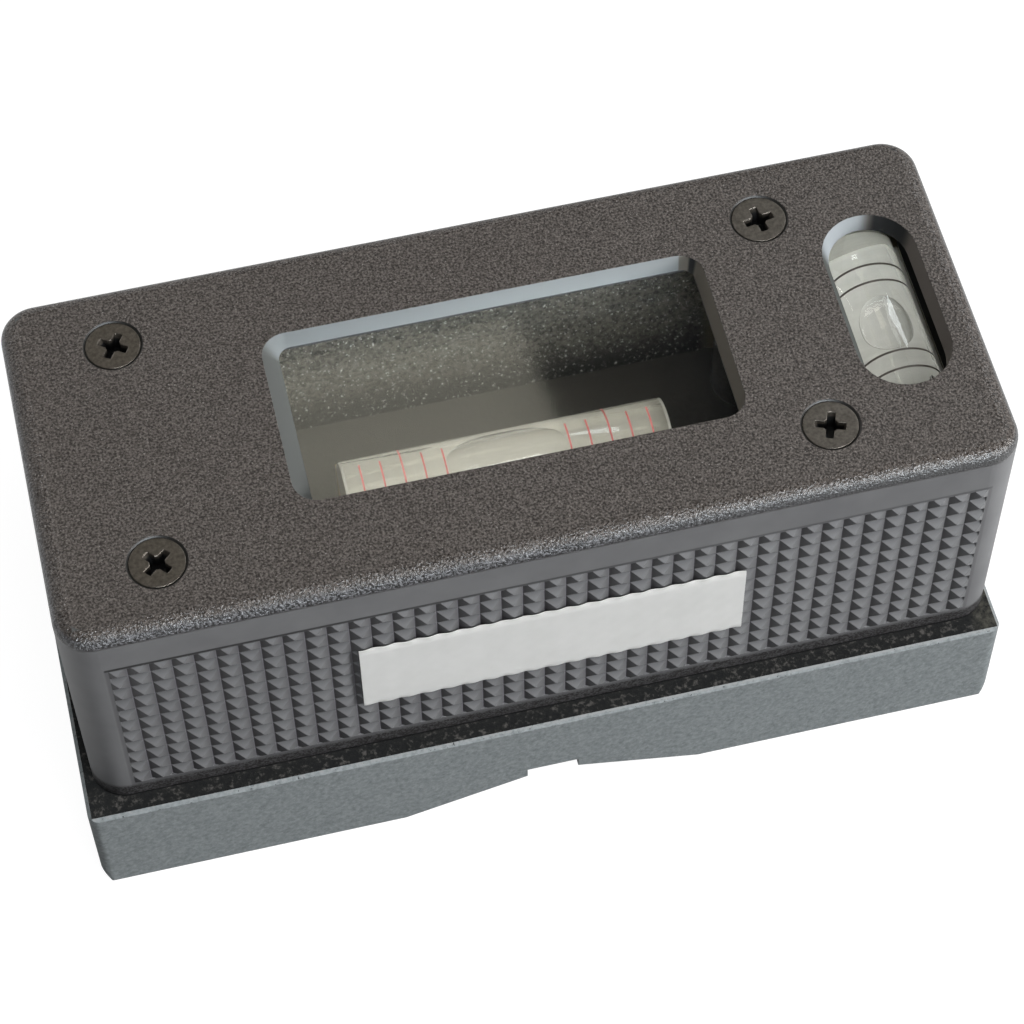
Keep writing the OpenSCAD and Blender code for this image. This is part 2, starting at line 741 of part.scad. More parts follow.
module label() {
    x = cover_shift + label_shift;
    z = grip_z + label_rise;
    color([0.93, 0.93, 0.92]) translate([x - label_l / 2, -tip_y - label_t, z - label_h / 2])
        cube([label_l, label_t, label_h]);
}

base_casting();
cover();
cover_posts();
cover_screws();
window_pane();
window_seal();
main_vial_tube();
main_vial_plugs();
main_vial_bubble();
main_vial_bed();
main_vial_holder();
pivot_bracket();
pivot_pin();
bracket_screws();
adjusting_screw();
adjusting_washer();
adjusting_spring();
cross_vial_tube();
cross_vial_plugs();
cross_vial_bubble();
cross_vial_bed();
cross_vial_stand();
stand_screws();
label();
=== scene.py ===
import math

import bmesh
import bpy
from mathutils import Matrix, Vector


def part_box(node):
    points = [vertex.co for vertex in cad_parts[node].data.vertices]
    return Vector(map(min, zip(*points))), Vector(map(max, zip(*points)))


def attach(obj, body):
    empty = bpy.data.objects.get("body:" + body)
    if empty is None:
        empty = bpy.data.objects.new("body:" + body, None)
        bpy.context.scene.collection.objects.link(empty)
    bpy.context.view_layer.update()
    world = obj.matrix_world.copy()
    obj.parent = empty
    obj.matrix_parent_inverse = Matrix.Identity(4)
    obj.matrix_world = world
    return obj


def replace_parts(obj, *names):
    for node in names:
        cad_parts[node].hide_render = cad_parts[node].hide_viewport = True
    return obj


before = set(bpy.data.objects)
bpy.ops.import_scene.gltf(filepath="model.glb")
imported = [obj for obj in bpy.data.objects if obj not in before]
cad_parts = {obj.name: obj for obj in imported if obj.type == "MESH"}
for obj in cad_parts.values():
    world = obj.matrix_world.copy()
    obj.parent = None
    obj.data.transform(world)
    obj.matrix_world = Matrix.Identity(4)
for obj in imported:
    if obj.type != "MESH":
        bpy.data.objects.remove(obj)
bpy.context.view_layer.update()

# Materials measure in mm, and meshes in metres
MM = 0.001
UNIT = 1 / MM


# Camera, placed as the photograph's perspective says
FOCAL_MM = 108.75
SENSOR_MM = 36
CAMERA_PLACE = Vector((-33.498, -156.964, 274.689)) * MM
CAMERA_RIGHT = Vector((0.97323477, -0.22959551, -0.00999913))
CAMERA_UP = Vector((0.19965901, 0.82318908, 0.53150354))
CLIP_NEAR = 0.01
CLIP_FAR = 20


def add_camera():
    data = bpy.data.cameras.new("camera")
    data.sensor_width = SENSOR_MM
    data.lens = FOCAL_MM
    data.clip_start = CLIP_NEAR
    data.clip_end = CLIP_FAR
    data.dof.use_dof = False
    camera = bpy.data.objects.new("camera", data)
    bpy.context.scene.collection.objects.link(camera)
    back = CAMERA_RIGHT.cross(CAMERA_UP)
    turn = Matrix((CAMERA_RIGHT, CAMERA_UP, back)).transposed().to_4x4()
    camera.matrix_world = Matrix.Translation(CAMERA_PLACE) @ turn
    bpy.context.scene.camera = camera


# A material's node tree, with short calls that return output sockets
class Nodes:
    def __init__(self, name):
        self.material = bpy.data.materials.new(name)
        self.material.use_nodes = True
        self.tree = self.material.node_tree
        self.shader = self.tree.nodes["Principled BSDF"]
        self.output = self.tree.nodes["Material Output"]
        coords = self.add("ShaderNodeTexCoord")
        scale = self.add("ShaderNodeVectorMath", operation="SCALE")
        self.tree.links.new(coords.outputs["Object"], scale.inputs[0])
        scale.inputs["Scale"].default_value = UNIT
        self.mm = scale.outputs[0]

    def add(self, kind, **settings):
        node = self.tree.nodes.new(kind)
        for name, value in settings.items():
            setattr(node, name, value)
        return node

    # Links a socket, or writes a plain value
    def put(self, value, socket):
        if isinstance(value, bpy.types.NodeSocket):
            self.tree.links.new(value, socket)
        else:
            socket.default_value = value

    # The place on the object, in mm
    def xyz(self):
        split = self.add("ShaderNodeSeparateXYZ")
        self.put(self.mm, split.inputs[0])
        return split.outputs

    # The direction that the face looks in
    def facing(self):
        split = self.add("ShaderNodeSeparateXYZ")
        self.put(self.add("ShaderNodeNewGeometry").outputs["True Normal"], split.inputs[0])
        return split.outputs

    def math(self, operation, a, b=0.0, clamp=False):
        node = self.add("ShaderNodeMath", operation=operation, use_clamp=clamp)
        self.put(a, node.inputs[0])
        self.put(b, node.inputs[1])
        return node.outputs[0]

    def times(self, a, b):
        return self.math("MULTIPLY", a, b)

    def plus(self, a, b):
        return self.math("ADD", a, b)

    def minus(self, a, b):
        return self.math("SUBTRACT", a, b)

    def most(self, a, b):
        return self.math("MAXIMUM", a, b)

    def abs(self, a):
        return self.math("ABSOLUTE", a)

    def length(self, a, b):
        squares = self.plus(self.math("POWER", a, 2.0), self.math("POWER", b, 2.0))
        return self.math("SQRT", squares)

    # 0 up to low and 1 from high on, smooth in between
    def step(self, value, low, high):
        node = self.add("ShaderNodeMapRange", interpolation_type="SMOOTHSTEP")
        self.put(value, node.inputs["Value"])
        node.inputs["From Min"].default_value = low
        node.inputs["From Max"].default_value = high
        return node.outputs["Result"]

    def flip(self, value):
        return self.minus(1.0, value)

    def noise(self, scale, detail=2.0, rough=0.5):
        node = self.add("ShaderNodeTexNoise")
        self.put(self.mm, node.inputs["Vector"])
        node.inputs["Scale"].default_value = scale
        node.inputs["Detail"].default_value = detail
        node.inputs["Roughness"].default_value = rough
        return node.outputs["Fac"]

    def cells(self, scale):
        node = self.add("ShaderNodeTexVoronoi", feature="SMOOTH_F1")
        self.put(self.mm, node.inputs["Vector"])
        node.inputs["Scale"].default_value = scale
        return node.outputs["Distance"]

    # A colour that runs through stops of (place, colour)
    def ramp(self, value, stops):
        node = self.add("ShaderNodeValToRGB")
        points = node.color_ramp.elements
        while len(points) < len(stops):
            points.new(0.5)
        for point, (place, colour) in zip(points, stops):
            point.position = place
            point.color = (*colour, 1)
        self.put(value, node.inputs["Fac"])
        return node.outputs["Color"]

    # From one colour to another
    def mix(self, share, a, b):
        node = self.add("ShaderNodeMix", data_type="RGBA")
        self.put(share, node.inputs["Factor"])
        for value, socket in ((a, node.inputs[6]), (b, node.inputs[7])):
            self.put((*value, 1) if isinstance(value, tuple) else value, socket)
        return node.outputs[2]

    # From one direction to another
    def turn(self, share, a, b):
        node = self.add("ShaderNodeMix", data_type="VECTOR")
        self.put(share, node.inputs["Factor"])
        self.put(a, node.inputs[4])
        self.put(b, node.inputs[5])
        return node.outputs[1]

    # From one number to another
    def blend(self, share, a, b):
        node = self.add("ShaderNodeMix", data_type="FLOAT")
        self.put(share, node.inputs["Factor"])
        self.put(a, node.inputs[2])
        self.put(b, node.inputs[3])
        return node.outputs[0]

    def vector(self, x, y, z):
        node = self.add("ShaderNodeCombineXYZ")
        for value, socket in zip((x, y, z), node.inputs):
            self.put(value, socket)
        return node.outputs[0]

    def bump(self, height, depth_mm, below=None):
        node = self.add("ShaderNodeBump")
        self.put(height, node.inputs["Height"])
        node.inputs["Distance"].default_value = depth_mm * MM
        if below is not None:
            self.put(below, node.inputs["Normal"])
        return node.outputs["Normal"]

    # The normal with the edges rounded off
    def rounded(self, radius_mm):
        node = self.add("ShaderNodeBevel", samples=4)
        node.inputs["Radius"].default_value = radius_mm * MM
        return node.outputs["Normal"]

    def set(self, **values):
        for name, value in values.items():
            socket = self.shader.inputs[name.replace("_", " ")]
            self.put((*value, 1) if isinstance(value, tuple) else value, socket)

    # The lamps' light goes straight through
    def let_lamps_through(self):
        path = self.add("ShaderNodeLightPath")
        clear = self.add("ShaderNodeBsdfTransparent")
        mixer = self.add("ShaderNodeMixShader")
        self.put(path.outputs["Is Shadow Ray"], mixer.inputs[0])
        self.put(self.shader.outputs[0], mixer.inputs[1])
        self.put(clear.outputs[0], mixer.inputs[2])
        self.put(mixer.outputs[0], self.output.inputs["Surface"])


# The cover and the base, in mm: the cover's half depth is that of its smooth long faces
HALF_DEPTH = 18.75
PLATE_T = 2.0
cover_low, cover_high = (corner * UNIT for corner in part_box("cover"))
base_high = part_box("base_casting")[1] * UNIT
cover_middle = (cover_low.x + cover_high.x) / 2
half_length = (cover_high.x - cover_low.x) / 2
plate_low = cover_high.z - PLATE_T
ledge_z = cover_low.z

# The grip's field, and the depth of its valleys
GRIP_PITCH = 2.0
GRIP_HALF = 41.0
GRIP_SHIFT = 0.35
GRIP_LOW = 1.9
GRIP_TALL = 22.0
VALLEY_Y = HALF_DEPTH - 0.2
grip_middle = cover_middle + GRIP_SHIFT
grip_foot = ledge_z + GRIP_LOW
grip_top = grip_foot + GRIP_TALL

# The rectangles of the corner centres of the window and the slot. The slot's has no width
LINE_Y = 0.3
WINDOW_IN_LEFT = 25.8
WINDOW_IN_RIGHT = 25.4
WINDOW_HALF = 7.35
SLOT_IN = 7.55
SLOT_HALF = 5.55
WINDOW_TO_SLOT = 27.0
WINDOW_CORNERS = (cover_low.x + WINDOW_IN_LEFT, cover_high.x - WINDOW_IN_RIGHT,
                  LINE_Y - WINDOW_HALF, LINE_Y + WINDOW_HALF)
SLOT_CORNERS = (cover_high.x - SLOT_IN, cover_high.x - SLOT_IN, LINE_Y - SLOT_HALF, LINE_Y + SLOT_HALF)

# The screw heads, and the countersinks round them
SCREW_R = 2.55
COUNTERSINK_R = 3.1

# Width in mm over which one zone of a material runs into the next
SOFT = 0.1


# 1 outside the cover's inner faces, where the outer skin is
def outer_skin(n, x, y):
    off_x = n.abs(n.minus(x, cover_middle))
    ends = n.step(off_x, half_length - 1.9, half_length - 1.6)
    sides = n.step(n.abs(y), HALF_DEPTH - 1.75, HALF_DEPTH - 1.45)
    return n.most(ends, sides)


# 1 along the upright valleys of the grip, where a thin pale line is painted in as a highlight
def valley_highlights(n, x, y):
    phase = n.math("DIVIDE", n.minus(x, grip_middle - GRIP_HALF), GRIP_PITCH)
    off = n.math("PINGPONG", phase, 0.5)
    line = n.flip(n.step(off, 0.012, 0.055))
    off_y = n.abs(y)
    deep = n.flip(n.step(off_y, VALLEY_Y + 0.05, VALLEY_Y + 0.10))
    outside = n.step(off_y, VALLEY_Y - 0.04, VALLEY_Y - 0.02)
    fading = n.flip(n.step(x, -5.0, 40.0))
    return n.times(n.times(line, fading), n.times(deep, outside))


# 1 along the length that the grip takes up
def grip_wide(n, x):
    off = n.abs(n.minus(x, grip_middle))
    return n.flip(n.step(off, GRIP_HALF - SOFT, GRIP_HALF + SOFT))


FLANK_SHADE = 0.42
VALLEY_SHADE = 0.30
LEFT_SHADE = 0.22
RIGHT_SHADE = 0.04


# Painted shade on the grip, most of all on its left flanks and in its valleys, and more towards its left end
def grip_shade(n, x, y, z):
    off_y = n.abs(y)
    tall = n.times(n.step(z, grip_foot - SOFT, grip_foot), n.flip(n.step(z, grip_top - SOFT, grip_top)))
    inside = n.times(n.times(grip_wide(n, x), tall), n.step(off_y, VALLEY_Y - SOFT, VALLEY_Y - 0.05))
    flank = n.times(n.step(n.times(n.facing()[0], -1.0), 0.2, 0.4), FLANK_SHADE)
    valley = n.times(n.flip(n.step(off_y, VALLEY_Y, VALLEY_Y + 0.40)), VALLEY_SHADE)
    at_left = n.blend(n.step(x, -45.0, 30.0), LEFT_SHADE, RIGHT_SHADE)
    return n.times(inside, n.math("ADD", n.plus(flank, valley), at_left, clamp=True))


# 0 round the cover screws, so that their countersinks keep the painted shade
def screw_free(n, x, y):
    low, high = (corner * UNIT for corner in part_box("cover_screws"))
    middle = (low + high) / 2
    reach_x, reach_y = (high.x - low.x) / 2 - SCREW_R, (high.y - low.y) / 2 - SCREW_R
    off_x = n.minus(n.abs(n.minus(x, middle.x)), reach_x)
    off_y = n.minus(n.abs(n.minus(y, middle.y)), reach_y)
    return n.step(n.length(off_x, off_y), COUNTERSINK_R, COUNTERSINK_R + SOFT)


# The direction in which an opening's wall lies, seen from the middle of its corner or its side
def wall_side(n, x, y, corners):
    low_x, high_x, low_y, high_y = corners
    away = []
    for value, low, high in ((x, low_x, high_x), (y, low_y, high_y)):
        held = n.math("MINIMUM", n.most(value, low), high)
        away.append(n.minus(value, held))
    length = n.most(n.length(*away), 0.001)
    return n.math("DIVIDE", away[0], length), n.math("DIVIDE", away[1], length)


# The normal of an opening's wall: it slopes as the face does and turns smoothly round the corners
def opening_normal(n, at_slot, window, slot):
    up = n.facing()[2]
    level = n.math("SQRT", n.flip(n.math("POWER", up, 2.0)))
    inwards = n.times(level, -1.0)
    wall_x = n.times(n.blend(at_slot, window[0], slot[0]), inwards)
    wall_y = n.times(n.blend(at_slot, window[1], slot[1]), inwards)
    return n.vector(wall_x, wall_y, up)


WINDOW_LEFT_WALL = (0.085, 0.089, 0.085)
WINDOW_RIGHT_WALL = (0.135, 0.120, 0.096)
WINDOW_HIGHLIGHT_LEFT = (0.150, 0.165, 0.168)
WINDOW_HIGHLIGHT_RIGHT = (0.230, 0.250, 0.257)
WINDOW_CORNER = (0.004, 0.004, 0.004)


# The window's walls, coloured by the side they face as painted light and shade: a painted highlight on the
# far wall and the far left corner, and painted shade in the far right corner
def window_wall(n, x, side_x, side_y):
    colour = n.mix(n.step(side_x, -0.7, 0.7), WINDOW_LEFT_WALL, WINDOW_RIGHT_WALL)
    far = n.times(n.step(side_y, 0.93, 0.985), n.flip(n.step(side_x, 0.1, 0.2)))
    left = n.times(n.step(side_y, 0.1, 0.8), n.flip(n.step(side_x, -0.2, 0.0)))
    painted_highlight = n.mix(n.step(x, -22.0, 18.0), WINDOW_HIGHLIGHT_LEFT, WINDOW_HIGHLIGHT_RIGHT)
    colour = n.mix(n.most(far, left), colour, painted_highlight)
    corner = n.times(n.step(side_x, 0.55, 0.68), n.step(side_y, 0.40, 0.60))
    return n.mix(corner, colour, WINDOW_CORNER)


SLOT_LEFT_WALL = (0.075, 0.080, 0.076)
SLOT_RIGHT_WALL = (0.125, 0.108, 0.094)
SLOT_HIGHLIGHT = (0.32, 0.35, 0.37)
SLOT_CORNER = (0.008, 0.008, 0.008)


# The slot's walls, coloured by the side they face as painted light and shade: a painted highlight on the far
# left of its arc, and painted shade at the far right
def slot_wall(n, side_x, side_y):
    colour = n.mix(n.step(side_x, -0.3, 0.6), SLOT_LEFT_WALL, SLOT_RIGHT_WALL)
    painted_highlight = n.times(n.step(side_y, 0.05, 0.55), n.flip(n.step(side_x, 0.0, 0.30)))
    colour = n.mix(painted_highlight, colour, SLOT_HIGHLIGHT)
    corner = n.times(n.step(side_x, 0.20, 0.40), n.step(side_y, 0.10, 0.45))
    return n.mix(corner, colour, SLOT_CORNER)


GRAIN_TONES = [(0.36, (0.024, 0.019, 0.016)), (0.50, (0.075, 0.065, 0.058)), (0.66, (0.150, 0.132, 0.120))]
SPECK_GLINT = (0.40, 0.38, 0.36)
GLINT_TONES = [(0.44, (0.018, 0.018, 0.020)), (0.60, (0.170, 0.174, 0.185))]
GLINT_RIGHT = (0.060, 0.062, 0.064)


# Fine brownish grain on top and over the rounded edges, with pale specks painted in as glints
def grained_colour(n, grain, speck):
    colour = n.ramp(grain, GRAIN_TONES)
    fleck = n.step(speck, 0.68, 0.74)
    return n.mix(n.times(fleck, 0.55), colour, SPECK_GLINT)


SIDE_TONES = [(0.3, (0.138, 0.139, 0.144)), (0.7, (0.162, 0.164, 0.168))]
VALLEY_HIGHLIGHT = (0.34, 0.32, 0.38)
FOOT_SHADE = (0.010, 0.008, 0.008)
GRIP_SHADE_COLOUR = (0.022, 0.019, 0.022)
GROOVE_SHADOW = (0.010, 0.009, 0.009)
SEAM_SHADE = (0.004, 0.004, 0.004)


# The smooth sides: painted highlights along the grip's valleys, painted shade on the foot and the grip, a
# painted shadow along the grip's top, painted shade in the seam
def side_colour(n, x, y, z, grain):
    colour = n.ramp(n.noise(0.25, 3.0, 0.5), SIDE_TONES)
    # Painted highlights along the grip's upright valleys
    colour = n.mix(n.times(valley_highlights(n, x, y), 0.45), colour, VALLEY_HIGHLIGHT)
    # Painted shade on the foot below the grip, broken up by the grain
    foot = n.flip(n.step(z, ledge_z + 1.5, ledge_z + 2.2))
    foot = n.times(foot, n.blend(n.step(grain, 0.38, 0.60), 0.60, 1.0))
    colour = n.mix(foot, colour, FOOT_SHADE)
    # Painted shade over the grip
    colour = n.mix(grip_shade(n, x, y, z), colour, GRIP_SHADE_COLOUR)
    # A painted shadow along the top edge of the grip, stronger at the left
    from_groove = n.abs(n.minus(z, grip_top - 0.2))
    groove_shadow = n.times(n.flip(n.step(from_groove, 0.08, 0.25)), grip_wide(n, x))
    groove_shadow = n.times(groove_shadow, n.blend(n.step(x, -40.0, 30.0), 0.9, 0.3))
    colour = n.mix(groove_shadow, colour, GROOVE_SHADOW)
    # Painted shade in the seam where the cover meets the ledge
    seam_shade = n.flip(n.step(z, ledge_z + 0.15, ledge_z + 0.40))
    return n.mix(seam_shade, colour, SEAM_SHADE)


INNER_TONES = [(0.38, (0.05, 0.046, 0.036)), (0.60, (0.24, 0.225, 0.185))]
INNER_FOOT_SHADE = (0.02, 0.02, 0.016)
INNER_FLECK = (0.85, 0.85, 0.78)
INNER_RIGHT_LIGHT = (0.21, 0.185, 0.120)


# The rough inside, seen through the window: painted shade at its foot, flecked, and painted light over its
# right end
def inner_colour(n, x, z, rough_wall):
    colour = n.ramp(rough_wall, INNER_TONES)
    colour = n.mix(n.flip(n.step(z, ledge_z + 2.0, ledge_z + 9.0)), colour, INNER_FOOT_SHADE)
    fleck = n.step(n.noise(3.6, 2.0, 0.6), 0.64, 0.69)
    colour = n.mix(fleck, colour, INNER_FLECK)
    return n.mix(n.step(x, 24.0, 26.0), colour, INNER_RIGHT_LIGHT)


# Where the cover's zones lie: each is 1 in its zone and 0 elsewhere
def cover_zones(n, x, y, z):
    outside = outer_skin(n, x, y)
    top = n.step(z, cover_high.z - 0.05, cover_high.z - 0.01)
    rim = n.times(outside, n.step(z, cover_high.z - 1.65, cover_high.z - 1.30))
    above = n.step(z, plate_low - SOFT, plate_low)
    inner = n.times(n.flip(above), n.flip(outside))
    opening = n.times(n.times(above, n.flip(outside)), n.flip(top))
    wall = n.times(opening, screw_free(n, x, y))
    return top, rim, inner, opening, wall


OPENING_SHADE = (0.020, 0.019, 0.017)
SIDE_ROUGH = 0.46
TOP_ROUGH = 0.52
SPECK_ROUGH = 0.34
RIM_ROUGH = 0.24
WALL_ROUGH = 0.75
LEFT_RIPPLE = 1.9
RIGHT_RIPPLE = 1.1
INNER_DEPTH = 3.0
COVER_SPECULAR = 0.3


# Grained on top and over its edges, smooth on the sides, with painted light and shade in the openings and
# painted glints on the front edge
def cover_material():
    n = Nodes("cover_plastic")
    x, y, z = n.xyz()
    top, rim, inner, opening, wall = cover_zones(n, x, y, z)
    grain = n.noise(4.6, 2.0, 0.6)
    speck = n.noise(5.5, 1.0, 0.5)
    ripple = n.noise(3.8, 2.0, 0.6)
    rough_wall = n.noise(2.6, 4.0, 0.7)
    at_left = n.flip(n.step(x, -10.0, 40.0))
    at_slot = n.step(x, WINDOW_TO_SLOT - SOFT, WINDOW_TO_SLOT + SOFT)
    window = wall_side(n, x, y, WINDOW_CORNERS)
    slot = wall_side(n, x, y, SLOT_CORNERS)

    colour = n.mix(n.most(top, rim), side_colour(n, x, y, z, grain), grained_colour(n, grain, speck))
    # Painted glints on the lower part of the rounded front edge: rippled at the left, an even sheen at the
    # right
    low_rim = n.times(rim, n.flip(n.step(z, cover_high.z - 0.8, cover_high.z - 0.2)))
    glint = n.mix(at_left, GLINT_RIGHT, n.ramp(ripple, GLINT_TONES))
    colour = n.mix(n.times(low_rim, 0.9), colour, glint)
    # Painted shade in the countersinks; the openings' walls get their painted light and shade next
    colour = n.mix(opening, colour, OPENING_SHADE)
    wall_colour = n.mix(at_slot, window_wall(n, x, *window), slot_wall(n, *slot))
    colour = n.mix(wall, colour, wall_colour)
    colour = n.mix(inner, colour, inner_colour(n, x, z, rough_wall))

    rough = n.blend(top, SIDE_ROUGH, n.blend(speck, TOP_ROUGH, SPECK_ROUGH))
    rough = n.blend(wall, n.blend(rim, rough, RIM_ROUGH), WALL_ROUGH)

    ripple_height = n.times(ripple, n.blend(at_left, RIGHT_RIPPLE, LEFT_RIPPLE))
    height = n.blend(rim, n.times(grain, top), ripple_height)
    height = n.plus(height, n.times(n.times(rough_wall, inner), INNER_DEPTH))
    fine = n.bump(n.noise(4.0, 3.0, 0.6), 0.006, n.rounded(0.12))
    normal = n.turn(wall, n.bump(height, 0.11, fine), opening_normal(n, at_slot, window, slot))
    n.set(Base_Color=colour, Roughness=rough, Normal=normal, Specular_IOR_Level=COVER_SPECULAR)
    return n.material


PAINT_TONES = [(0.30, (0.147, 0.165, 0.169)), (0.5, (0.201, 0.223, 0.229)), (0.72, (0.260, 0.284, 0.290))]
PAINT_FLECK = (0.25, 0.275, 0.28)
PAINT_SPOT = (0.02, 0.02, 0.02)
PAINT_WORN = (0.24, 0.25, 0.25)


# Hammer finish paint: flecked, with dark spots on the bevel, whose upper edge is worn pale
def paint_colour(n, x, z, bevel, fleck):
    paint = n.ramp(n.noise(2.2, 4.0, 0.6), PAINT_TONES)
    paint = n.mix(n.step(fleck, 0.60, 0.75), paint, PAINT_FLECK)
    dark_spot = n.step(n.noise(2.6, 4.0, 0.7), 0.60, 0.68)
    paint = n.mix(n.times(bevel, dark_spot), paint, PAINT_SPOT)
    crest = n.times(bevel, n.step(z, ledge_z - 0.20, ledge_z - 0.14))
    to_right = n.step(x, -40.0, 10.0)
    worn = n.step(n.plus(n.noise(2.2, 4.0, 0.7), n.times(to_right, 0.12)), 0.50, 0.60)
    return n.mix(n.times(crest, worn), paint, PAINT_WORN)


LEDGE_TONES = [(0.38, (0.002, 0.002, 0.002)), (0.54, (0.006, 0.006, 0.005)), (0.68, (0.075, 0.070, 0.065))]
LEDGE_END_LIGHT = (0.060, 0.057, 0.044)


# The rough dark ledge, with painted light on its right end
def ledge_colour(n, x, rough_ledge):
    ledge = n.ramp(rough_ledge, LEDGE_TONES)
    at_end = n.step(x, base_high.x - 3.0, base_high.x - 1.5)
    lit_end = n.times(at_end, n.step(rough_ledge, 0.30, 0.60))
    return n.mix(n.times(lit_end, 0.7), ledge, LEDGE_END_LIGHT)


BED_DARK = (0.035, 0.032, 0.026)
BED_LIGHT = (0.065, 0.062, 0.050)
BED_RIGHT_SHADE = (0.026, 0.024, 0.019)


# The bare floor inside, with painted shade over its right part
def bed_colour(n, x, fleck):
    bed = n.mix(fleck, BED_DARK, BED_LIGHT)
    return n.mix(n.step(x, 0.0, 8.0), bed, BED_RIGHT_SHADE)


GROUND_TONES = [(0.3, (0.36, 0.36, 0.36)), (0.7, (0.52, 0.52, 0.51))]
PAINT_ROUGH = 0.42
LEDGE_ROUGH = 0.95
GROUND_ROUGH = 0.34
BEVEL_ROUGH = 0.7
GROUND_METAL = 0.7
BASE_SPECULAR = 0.3


# Paint on the sides, the rough ledge on top, the bare floor inside and a ground underside
def base_material():
    n = Nodes("base_paint")
    x, _, z = n.xyz()
    normal_z = n.facing()[2]
    down = n.step(n.times(normal_z, -1.0), 0.8, 0.9)
    up = n.step(normal_z, 0.8, 0.9)
    bevel = n.times(n.step(normal_z, 0.3, 0.4), n.flip(up))
    inside = n.step(z, ledge_z + 0.2, ledge_z + 0.4)
    fleck = n.noise(5.0, 3.0, 0.6)
    rough_ledge = n.noise(1.6, 4.0, 0.7)

    ledge = n.mix(inside, ledge_colour(n, x, rough_ledge), bed_colour(n, x, fleck))
    colour = n.mix(n.most(up, inside), paint_colour(n, x, z, bevel, fleck), ledge)
    colour = n.mix(down, colour, n.ramp(n.noise(9.0, 2.0, 0.5), GROUND_TONES))

    hammered = n.plus(n.times(n.cells(2.4), 0.4), n.times(fleck, 0.25))
    height = n.blend(up, hammered, n.times(rough_ledge, 1.5))
    rough = n.blend(down, n.blend(up, PAINT_ROUGH, LEDGE_ROUGH), GROUND_ROUGH)
    rough = n.blend(bevel, rough, BEVEL_ROUGH)
    n.set(Base_Color=colour, Roughness=rough, Normal=n.bump(height, 0.08, n.rounded(0.10)),
          Metallic=n.times(down, GROUND_METAL), Specular_IOR_Level=BASE_SPECULAR)
    return n.material


METAL_SCALE = 3.0


# Metal, uneven in tone and worn a little
def metal_material(name, dark, light, rough, metallic=1.0):
    n = Nodes(name)
    tone = n.noise(METAL_SCALE, 3.0, 0.6)
    wear = n.noise(METAL_SCALE * 3, 3.0, 0.6)
    n.set(Base_Color=n.ramp(tone, [(0.3, dark), (0.7, light)]), Metallic=metallic,
          Roughness=n.blend(wear, rough - 0.08, rough + 0.12),
          Normal=n.bump(wear, 0.01, n.rounded(0.08)))
    return n.material


# Plastic, rubber, film or paint with a little unevenness
def plain_material(name, dark, light, rough, scale=1.2, depth_mm=0.01):
    n = Nodes(name)
    tone = n.noise(scale, 4.0, 0.55)
    fine = n.noise(scale * 6, 3.0, 0.6)
    n.set(Base_Color=n.ramp(tone, [(0.3, dark), (0.7, light)]),
          Roughness=n.blend(fine, rough - 0.05, rough + 0.08), Normal=n.bump(fine, depth_mm))
    return n.material


GLASS_UNEVEN = 0.99


def glass_material(name, colour, ior, rough=0.01):
    n = Nodes(name)
    tint = n.noise(0.4, 1.0)
    darker = tuple(part * GLASS_UNEVEN for part in colour)
    n.set(Base_Color=n.ramp(tint, [(0.4, colour), (0.6, darker)]))
    n.shader.inputs["Transmission Weight"].default_value = 1.0
    n.shader.inputs["IOR"].default_value = ior
    n.shader.inputs["Roughness"].default_value = rough
    n.let_lamps_through()
    return n.material


END_ROUGH = 0.6
END_CLEAR = 0.5


# Cream that light also comes through, for the thin ends of the vials
def end_material(dark, light):
    n = Nodes("vial_end")
    tone = n.ramp(n.noise(1.2, 4.0, 0.55), [(0.3, dark), (0.7, light)])
    n.set(Base_Color=tone, Roughness=END_ROUGH)
    glow = n.add("ShaderNodeBsdfTranslucent")
    n.put(tone, glow.inputs["Color"])
    mixer = n.add("ShaderNodeMixShader")
    mixer.inputs[0].default_value = END_CLEAR
    n.put(n.shader.outputs[0], mixer.inputs[1])
    n.put(glow.outputs[0], mixer.inputs[2])
    n.put(mixer.outputs[0], n.output.inputs["Surface"])
    return n.material


STAND_TONES = [(0.3, (0.003, 0.003, 0.0028)), (0.7, (0.006, 0.006, 0.0055))]
STAND_FLANK_LIGHT = [(0.35, (0.055, 0.048, 0.030)), (0.65, (0.110, 0.096, 0.060))]
STAND_ROUGH = 0.6


# Black, with painted light as an olive tone on the flank that faces the main vial
def stand_material():
    n = Nodes("stand_plastic")
    tone = n.noise(1.2, 4.0, 0.55)
    flank = n.step(n.times(n.facing()[0], -1.0), 0.5, 0.8)
    colour = n.mix(flank, n.ramp(tone, STAND_TONES), n.ramp(tone, STAND_FLANK_LIGHT))
    n.set(Base_Color=colour, Roughness=STAND_ROUGH, Normal=n.bump(tone, 0.02))
    return n.material


SCREW_TONES = [(0.3, (0.080, 0.070, 0.058)), (0.7, (0.150, 0.132, 0.112))]
RECESS_SHADE = (0.003, 0.003, 0.003)


# Blackened steel, with painted shade in its recesses
def screw_material():
    n = Nodes("screw_steel")
    z = n.xyz()[2]
    tone = n.noise(METAL_SCALE, 3.0, 0.6)
    wear = n.noise(METAL_SCALE * 3, 3.0, 0.6)
    deep = n.flip(n.step(z, cover_high.z - 0.75, cover_high.z - 0.35))
    colour = n.mix(deep, n.ramp(tone, SCREW_TONES), RECESS_SHADE)
    n.set(Base_Color=colour, Roughness=n.blend(wear, 0.26, 0.42), Metallic=n.blend(deep, 0.75, 0.0),
          Normal=n.bump(wear, 0.01, n.rounded(0.18)))
    return n.material


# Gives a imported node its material
def dress(node, material):
    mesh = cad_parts[node].data
    mesh.materials.clear()
    mesh.materials.append(material)


# Makes a piece that rides on a body
def add_object(name, mesh, body, material, smooth=True):
    for face in mesh.polygons:
        face.use_smooth = smooth
    mesh.materials.append(material)
    piece = bpy.data.objects.new(name, mesh)
    bpy.context.scene.collection.objects.link(piece)
    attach(piece, body)
    return piece


